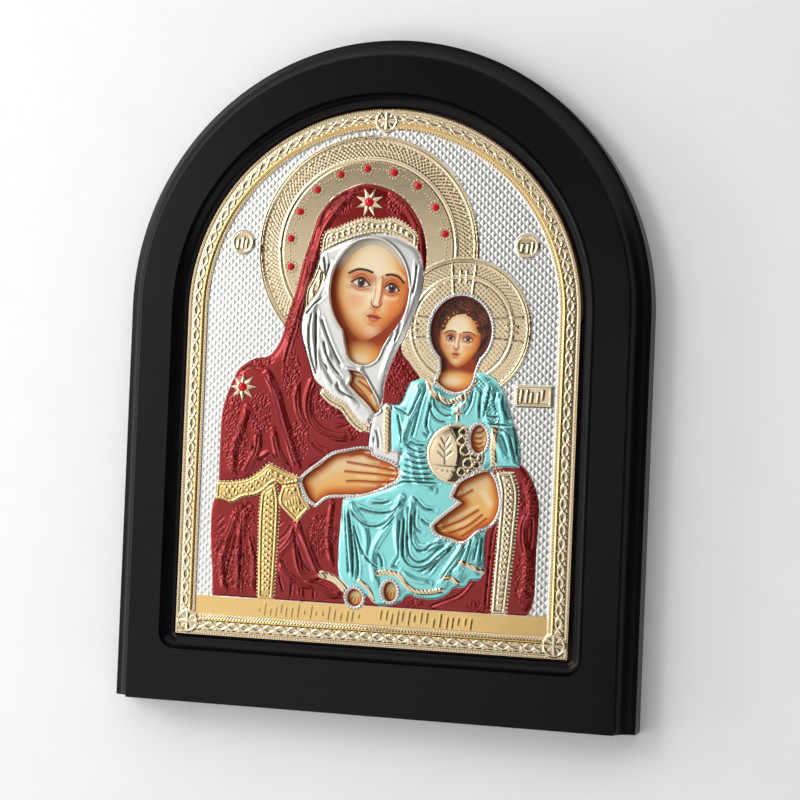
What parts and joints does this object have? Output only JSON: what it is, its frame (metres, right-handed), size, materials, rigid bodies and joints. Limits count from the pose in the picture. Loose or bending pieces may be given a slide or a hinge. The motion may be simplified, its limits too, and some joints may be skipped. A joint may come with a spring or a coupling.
{
  "type": "icon panel",
  "caption": "Arched icon panel: black moulded wooden frame round a printed board under a pressed metal cover, cut out over faces, hands and feet and set with red stones.",
  "frame": {"origin": "middle of the panel's flat back, on the surface that it lies on", "axes": "+X to the picture's right, +Y to the top of the arch, +Z out of the panel's face"},
  "size_m": [0.25, 0.31, 0.019],
  "materials": {
    "black_lacquer": "satin black lacquer with fine dust",
    "printed_board": "printed and varnished picture",
    "pressed_metal": "pressed sheet with a pale gold, silver, maroon and turquoise finish",
    "red_stone": "polished red paste"
  },
  "bodies": {
    "root": {"frame": "black_lacquer", "picture_board": "printed_board", "metal_cover": "pressed_metal", "halo_stone_01": "red_stone", "halo_stone_02": "red_stone", "halo_stone_03": "red_stone", "halo_stone_04": "red_stone", "halo_stone_05": "red_stone", "halo_stone_06": "red_stone", "halo_stone_07": "red_stone", "halo_stone_08": "red_stone", "halo_stone_09": "red_stone", "halo_stone_10": "red_stone", "hood_star_stone": "red_stone", "shoulder_star_stone": "red_stone"}
  },
  "joints": []
}
